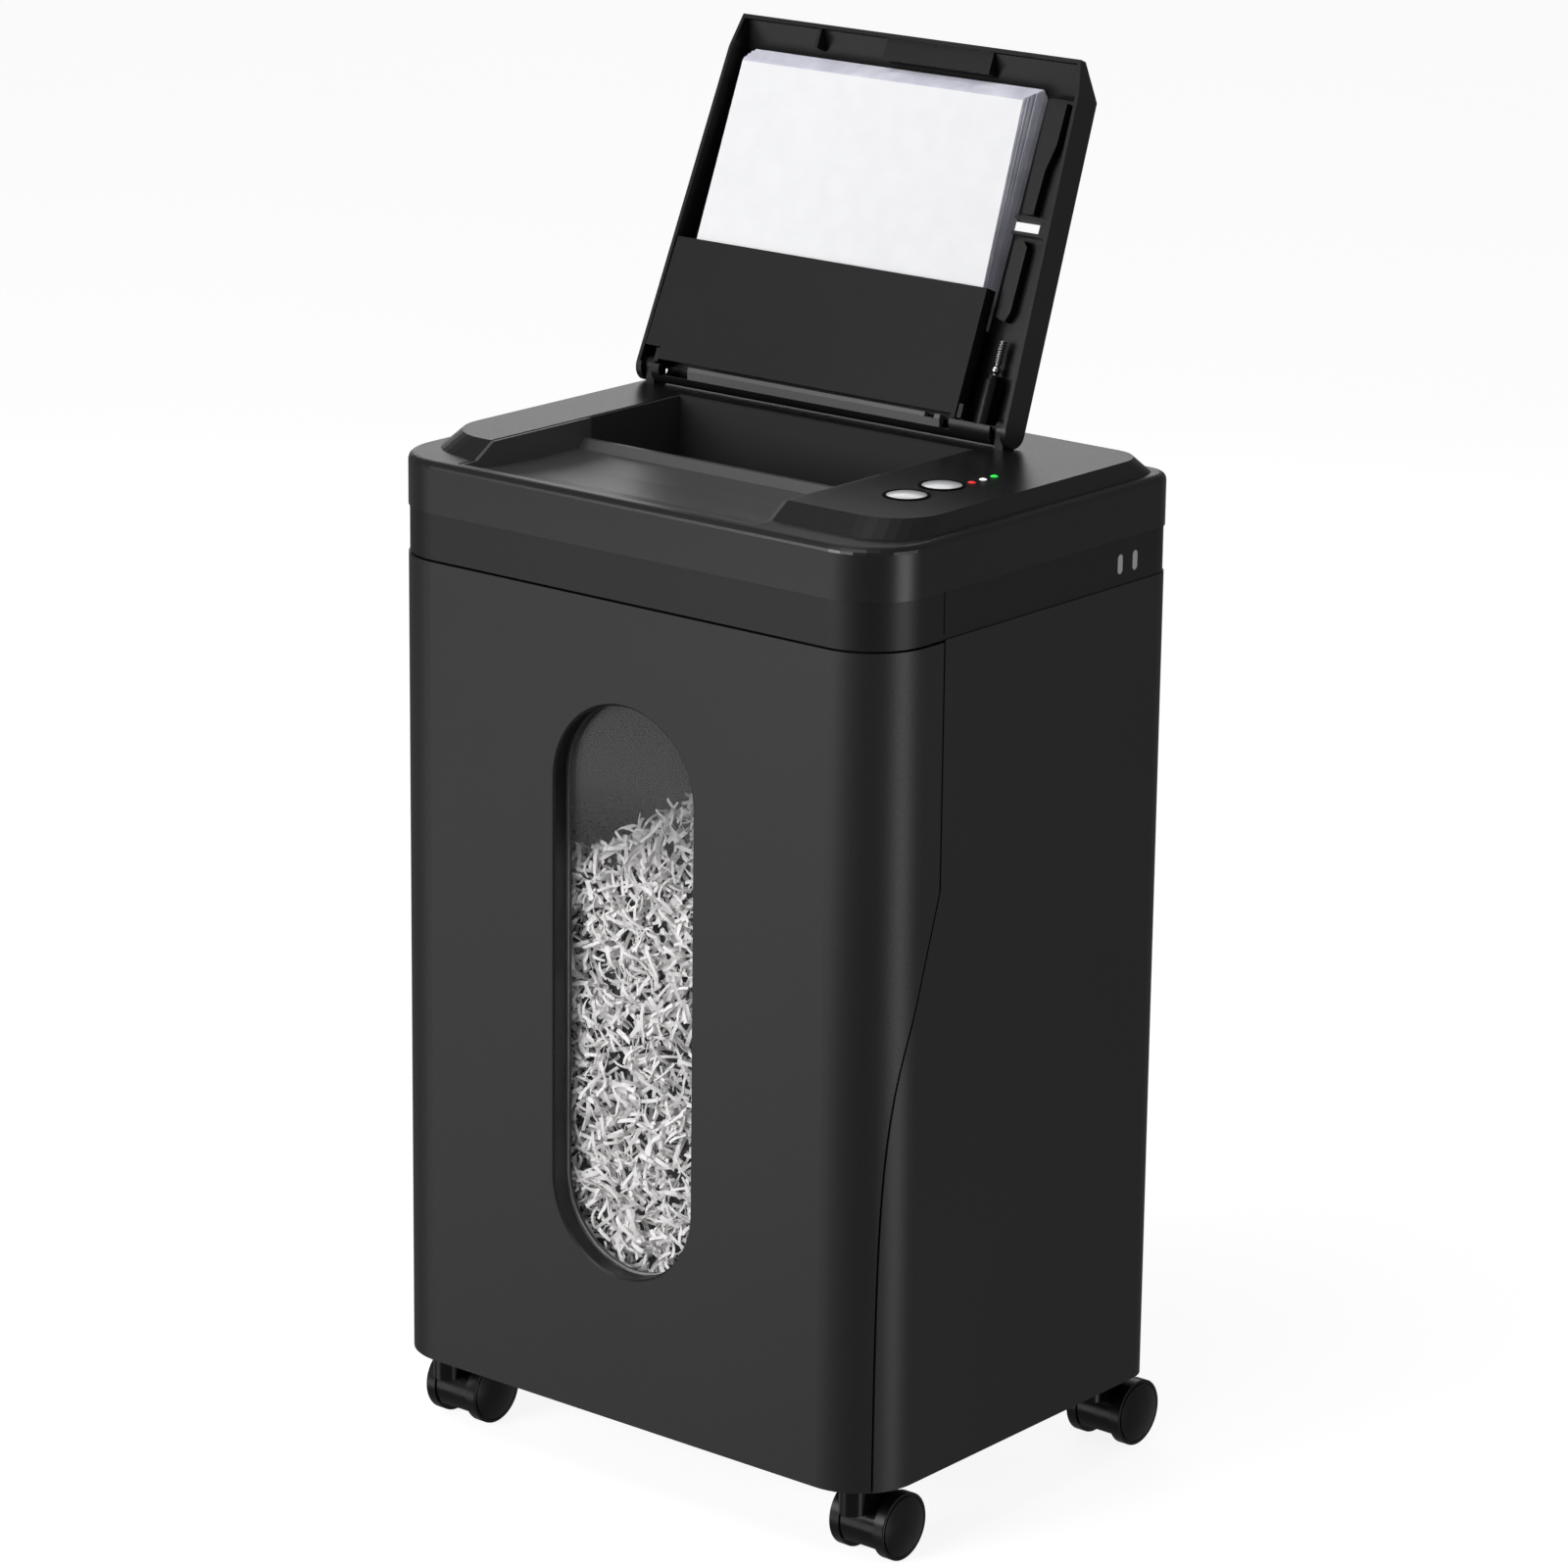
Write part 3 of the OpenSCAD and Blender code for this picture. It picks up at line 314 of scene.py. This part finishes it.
class Builder:
    """Collects rings of points into one mesh of closed pieces."""

    def __init__(self):
        self.points = []
        self.faces = []
        self.smooth = []

    def loft(self, rings, smooth=True, closed=False):
        """Joins rings of the same number of points, capped unless the rings close on themselves."""
        first = len(self.points)
        count = len(rings[0])
        for ring in rings:
            self.points.extend(tuple(point) for point in ring)
        spans = len(rings) if closed else len(rings) - 1
        for i in range(spans):
            a, b = first + i * count, first + (i + 1) % len(rings) * count
            for j in range(count):
                k = (j + 1) % count
                self.faces.append((a + j, a + k, b + k, b + j))
                self.smooth.append(smooth)
        if not closed:
            last = first + (len(rings) - 1) * count
            self.faces.append(tuple(range(first + count - 1, first - 1, -1)))
            self.faces.append(tuple(range(last, last + count)))
            self.smooth.extend([False, False])

    def slab(self, corners, thick):
        """A thin plate: four corners, and the vector of its thickness."""
        self.loft([corners, [corner + thick for corner in corners]], smooth=False)

    def make(self, name, body, material, slot=None):
        mesh = bpy.data.meshes.new(name)
        mesh.from_pydata(self.points, [], self.faces)
        mesh.polygons.foreach_set("use_smooth", self.smooth)
        mesh.materials.append(material)
        mesh.update()
        piece = bpy.data.objects.new(name, mesh)
        bpy.context.scene.collection.objects.link(piece)
        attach(piece, body)
        return piece


def ring_round(centre, u, v, radius, count):
    turn = 2 * math.pi / count
    return [centre + radius * (u * math.cos(i * turn) + v * math.sin(i * turn))
            for i in range(count)]


# ------------------------------------------------------------------ paper in the lid

LID_LEAN = math.radians(68)
LID_ALONG = Vector((0, math.cos(LID_LEAN), math.sin(LID_LEAN)))
LID_OUT = Vector((0, -math.sin(LID_LEAN), math.cos(LID_LEAN)))
HINGE = Vector(joints["lid_hinge"]["pos_m"])
HINGE_LINE = Vector((SEAM.x, HINGE.y, HINGE.z))


def in_lid(x, along, out):
    """A point of the open lid: across, from the hinge to the free end, and out of the hollow."""
    return HINGE_LINE + Vector((x, 0, 0)) + LID_ALONG * along + LID_OUT * out


def lid_extent(node):
    """A lid node's lowest and highest x, along and out."""
    spans = [(p.co.x - SEAM.x, (p.co - HINGE_LINE).dot(LID_ALONG), (p.co - HINGE_LINE).dot(LID_OUT))
             for p in nodes[node].data.vertices]
    return [(min(axis), max(axis)) for axis in zip(*spans)]


SHEETS = 74
SHEET_THICK = 0.13 * MM
SHEET_FAN = Vector((6.5 * MM, 10 * MM))
SHEET_SPREAD = 1.3 * MM
CORNER_DEPTH = 4 * MM  # the back sheets are shorter, to clear the lid's rounded corner
CORNER_SLOPE = 1.5


def make_paper_stack():
    """Sheets with uneven edges, fanned so that the back ones stand higher and further right."""
    rng = random.Random(11)
    (x0, x1), (low, high), (back, front) = lid_extent("paper_stack")
    pitch = (front - back - SHEET_THICK) / (SHEETS - 1)
    stack, cover = Builder(), Builder()
    for i in range(SHEETS):
        out = back + i * pitch
        share = i / (SHEETS - 1)
        clear = max(0.0, CORNER_DEPTH - (out - back)) * CORNER_SLOPE
        top = high - clear - SHEET_FAN.y * share ** 1.4 - SHEET_SPREAD * rng.random() ** 2
        left = x0 + SHEET_SPREAD * (0.2 + 0.8 * rng.random())
        right = x1 - SHEET_SPREAD * (0.2 + 0.6 * rng.random() ** 2)
        right_top = right - SHEET_FAN.x * share ** 1.3
        tilt = (rng.random() - 0.5) * 0.5 * MM
        sheets = cover if i == SHEETS - 1 else stack
        sheets.slab([in_lid(left, low, out), in_lid(right, low, out),
                     in_lid(right_top, top - tilt, out), in_lid(left, top + tilt, out)],
                    LID_OUT * SHEET_THICK)
    # Painted shade: the sheets behind the front one are a darker, bluer grey than the same paper in
    # front, for the shade along the stack's edges.
    edges = paper_material("sheet_edges_painted_shade", (0.50, 0.50, 0.58), (0.66, 0.66, 0.73))
    white = paper_material("sheet_white", (0.80, 0.80, 0.815), (0.83, 0.83, 0.84))
    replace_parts(stack.make("paper_sheets", "lid", edges, "paper"), "paper_stack")
    cover.make("front_sheet", "lid", white, "paper")


# ------------------------------------------------------------------ small parts

# The ring round a button: its inner radius, and its section in millimetres out from that radius
# and up from the plateau.
BUTTON_RADIUS = 11.45 * MM
BEZEL = [(0.0, -0.2), (0.0, 0.5), (0.3, 0.8), (1.1, 0.8), (1.9, 0.4), (2.1, -0.2)]
BEZEL_STEPS = 64

# The coil on the plunger: where it starts and ends from the plunger's two ends, and its shape.
COIL_START = 7.2 * MM
COIL_END = 0.6 * MM
COIL_RADIUS = 2.4 * MM
COIL_WIRE = 0.45 * MM
COIL_TURNS = 9
COIL_STEPS_A_TURN = 16


def make_coil(name, body, start, end, radius, wire, turns, material, slot):
    """A coil spring from start to end."""
    axis = (end - start).normalized()
    u = axis.orthogonal().normalized()
    v = axis.cross(u)
    steps = turns * COIL_STEPS_A_TURN
    coil = Builder()
    rings = []
    for i in range(steps + 1):
        turn = 2 * math.pi * turns * i / steps
        out = u * math.cos(turn) + v * math.sin(turn)
        spot = start + (end - start) * (i / steps) + out * radius
        rings.append(ring_round(spot, out, axis, wire, 8))
    coil.loft(rings)
    return coil.make(name, body, material, slot)


def make_bezel(name, node, material):
    """A rounded ring that stands round a button, on the plateau."""
    low, high = (Vector(corner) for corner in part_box(node))
    centre = Vector(((low.x + high.x) / 2, (low.y + high.y) / 2, cover_high.z))
    bezel = Builder()
    rings = []
    for i in range(BEZEL_STEPS):
        turn = 2 * math.pi * i / BEZEL_STEPS
        out = Vector((math.cos(turn), math.sin(turn), 0))
        rings.append([centre + out * (BUTTON_RADIUS + r * MM) + Vector((0, 0, z * MM))
                      for r, z in BEZEL])
    bezel.loft(rings, closed=True)
    return bezel.make(name, "cabinet", material, "gloss_black")


def make_small_parts():
    dark_steel = metal("spring_steel", grey(0.18), grey(0.28), 0.3)
    (x0, x1), (low, high), (back, front) = lid_extent("spring_plunger")
    x, out = (x0 + x1) / 2, (back + front) / 2
    start, end = in_lid(x, low + COIL_START, out), in_lid(x, high - COIL_END, out)
    make_coil("plunger_spring", "lid", start, end, COIL_RADIUS, COIL_WIRE, COIL_TURNS,
              dark_steel, "steel")
    gloss = plastic("bezel_black", grey(0.0015), grey(0.0025), 0.5, 500, 0.000008,
                    Specular_IOR_Level=0.05)
    for name in ("start_button", "reverse_button"):
        make_bezel(name + "_bezel", name, gloss)


# ------------------------------------------------------------------ cut paper in the bin

SHRED_THICK = 0.35 * MM
SHRED_WIDTH = (1.5 * MM, 2.7 * MM)
SHRED_LENGTH = (9 * MM, 19 * MM)
SHRED_STEPS = 6
FRONT_SHREDS = 3700
TOP_SHREDS = 1700
HEAP_LEVEL = 0.905  # share of the CAD heap's height, at its middle
HEAP_TILT = 0.16  # how much of it rises from left to right, over HEAP_TILT_SPAN
HEAP_TILT_SPAN = 0.095
HEAP_FALL = 0.15  # slope down to the back
FRONT_SPAN = (-0.102, 0.062)  # the strips behind the window, from the middle
FRONT_GAP = 0.4  # millimetres behind the pane, at the nearest
FRONT_DEPTH = 13  # and how much deeper they lie
PANE_RIM = 13 * MM  # of the pane that the panel covers, at its sides
PANE_END = 15 * MM  # and at its ends
CORE_SIDE = 2 * MM
CORE_INSET = 12 * MM
CORE_COVER = 7 * MM
CORE_STEPS = 24


def add_shred(heap, rng, centre, along, face, front=None):
    """One curled strip: it runs along, faces face, and bends round its width.

    Where front is given, the strip is pushed back so that nothing of it lies before that y."""
    along = (along - along.dot(face) * face).normalized()
    length = rng.uniform(*SHRED_LENGTH)
    half = rng.uniform(*SHRED_WIDTH) / 2
    curl = rng.choice((-1, 1)) * rng.uniform(0.6, 2.8)
    twist = rng.uniform(-1.2, 1.2)
    across = face.cross(along)
    rings = []
    for i in range(SHRED_STEPS + 1):
        t = i / SHRED_STEPS - 0.5
        bend = curl * t
        spot = centre + along * (length * t) + face * (length * 0.32 * curl * (0.25 - t * t))
        normal = (face * math.cos(bend) + along * math.sin(bend)).normalized()
        side = (across * math.cos(twist * t) + normal * math.sin(twist * t)) * half
        skin = normal * (SHRED_THICK / 2)
        rings.append([spot - side - skin, spot + side - skin,
                      spot + side + skin, spot - side + skin])
    if front is not None:
        back = Vector((0, front - min(point.y for ring in rings for point in ring), 0))
        rings = [[point + back for point in ring] for ring in rings]
    heap.loft(rings, smooth=False)


def random_direction(rng):
    while True:
        way = Vector((rng.uniform(-1, 1), rng.uniform(-1, 1), rng.uniform(-1, 1)))
        if 0.1 < way.length < 1:
            return way.normalized()


def make_shreds():
    rng = random.Random(5)
    low, high = (Vector(corner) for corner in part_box("paper_shreds"))
    pane_low, pane_high = (Vector(corner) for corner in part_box("window_pane"))
    half_x = (pane_high.x - pane_low.x) / 2 - PANE_RIM
    span_z = pane_low.z + PANE_END, pane_high.z - PANE_END
    reach = SHRED_LENGTH[1] * 0.6
    rise = high.z - low.z

    def surface(x, y):
        """Height of the heap: low on the left, high on the right, and falling away to the back."""
        t = min(max((x - SEAM.x) / HEAP_TILT_SPAN, -0.5), 0.5)
        return low.z + rise * (HEAP_LEVEL + HEAP_TILT * t) - HEAP_FALL * (y - low.y)

    white = paper_material("shred_white", (0.90, 0.885, 0.88), (0.96, 0.945, 0.94))
    heap = Builder()
    for _ in range(FRONT_SHREDS):
        x = rng.uniform(SEAM.x + FRONT_SPAN[0], SEAM.x + FRONT_SPAN[1])
        z = rng.uniform(low.z + reach * 0.6, surface(x, low.y) - 2 * MM)
        off_x, off_z = abs(x - SEAM.x), abs(z - (span_z[0] + span_z[1]) / 2)
        round_end = off_z - ((span_z[1] - span_z[0]) / 2 - half_x)
        inside = off_x < half_x and (round_end < 0 or math.hypot(off_x, round_end) < half_x)
        front = pane_high.y if inside else low.y - 2 * MM
        front += (FRONT_GAP + FRONT_DEPTH * rng.random() ** 1.4) * MM
        face = (Vector((0, -1, 0)) + 0.9 * random_direction(rng)).normalized()
        add_shred(heap, rng, Vector((x, low.y, z)), random_direction(rng), face, front)
    for _ in range(TOP_SHREDS):
        x = rng.uniform(low.x + reach, high.x - reach)
        y = rng.uniform(low.y + reach, high.y - reach)
        z = surface(x, y) - rng.uniform(0, 5) * MM
        face = (Vector((0, 0, 1)) + 0.7 * random_direction(rng)).normalized()
        add_shred(heap, rng, Vector((x, y, z)), random_direction(rng), face)
    heap.make("cut_paper", "bin", white, "paper")

    core = Builder()
    front, back = low.y + CORE_INSET, high.y - CORE_INSET
    rings = []
    for i in range(CORE_STEPS + 1):
        x = low.x + CORE_SIDE + (high.x - low.x - 2 * CORE_SIDE) * i / CORE_STEPS
        rings.append([Vector((x, front, low.z)), Vector((x, back, low.z)),
                      Vector((x, back, surface(x, back) - CORE_COVER)),
                      Vector((x, front, surface(x, front) - CORE_COVER))])
    core.loft(rings, smooth=False)
    core_grey = paper_material("shred_shadow", (0.03, 0.03, 0.03), (0.12, 0.12, 0.12))
    bump(core_grey, add_noise(core_grey, 160, 3), 0.004)
    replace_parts(core.make("cut_paper_core", "bin", core_grey, "paper"), "paper_shreds")


# ------------------------------------------------------------------ the room

def make_floor():
    floor = Builder()
    half = 14.0
    floor.slab([Vector((-half, -half, -0.02)), Vector((half, -half, -0.02)),
                Vector((half, half, -0.02)), Vector((-half, half, -0.02))], Vector((0, 0, 0.02)))
    made = new_material("floor_white", Roughness=0.7, Specular_IOR_Level=0.2,
                        Emission_Color=(1, 1, 1, 1), Emission_Strength=0.88)
    vary(made, add_noise(made, 0.8, 2), "Base Color", (0.29, 0.29, 0.29), (0.31, 0.31, 0.31))
    mesh = bpy.data.meshes.new("floor")
    mesh.from_pydata(floor.points, [], floor.faces)
    mesh.materials.append(made)
    plane = bpy.data.objects.new("floor", mesh)
    plane.visible_glossy = False
    plane.visible_diffuse = False
    plane.visible_shadow = False
    bpy.context.scene.collection.objects.link(plane)


make_camera()
make_lights()
make_floor()
paint_frame()
make_paper_stack()
make_small_parts()
make_shreds()
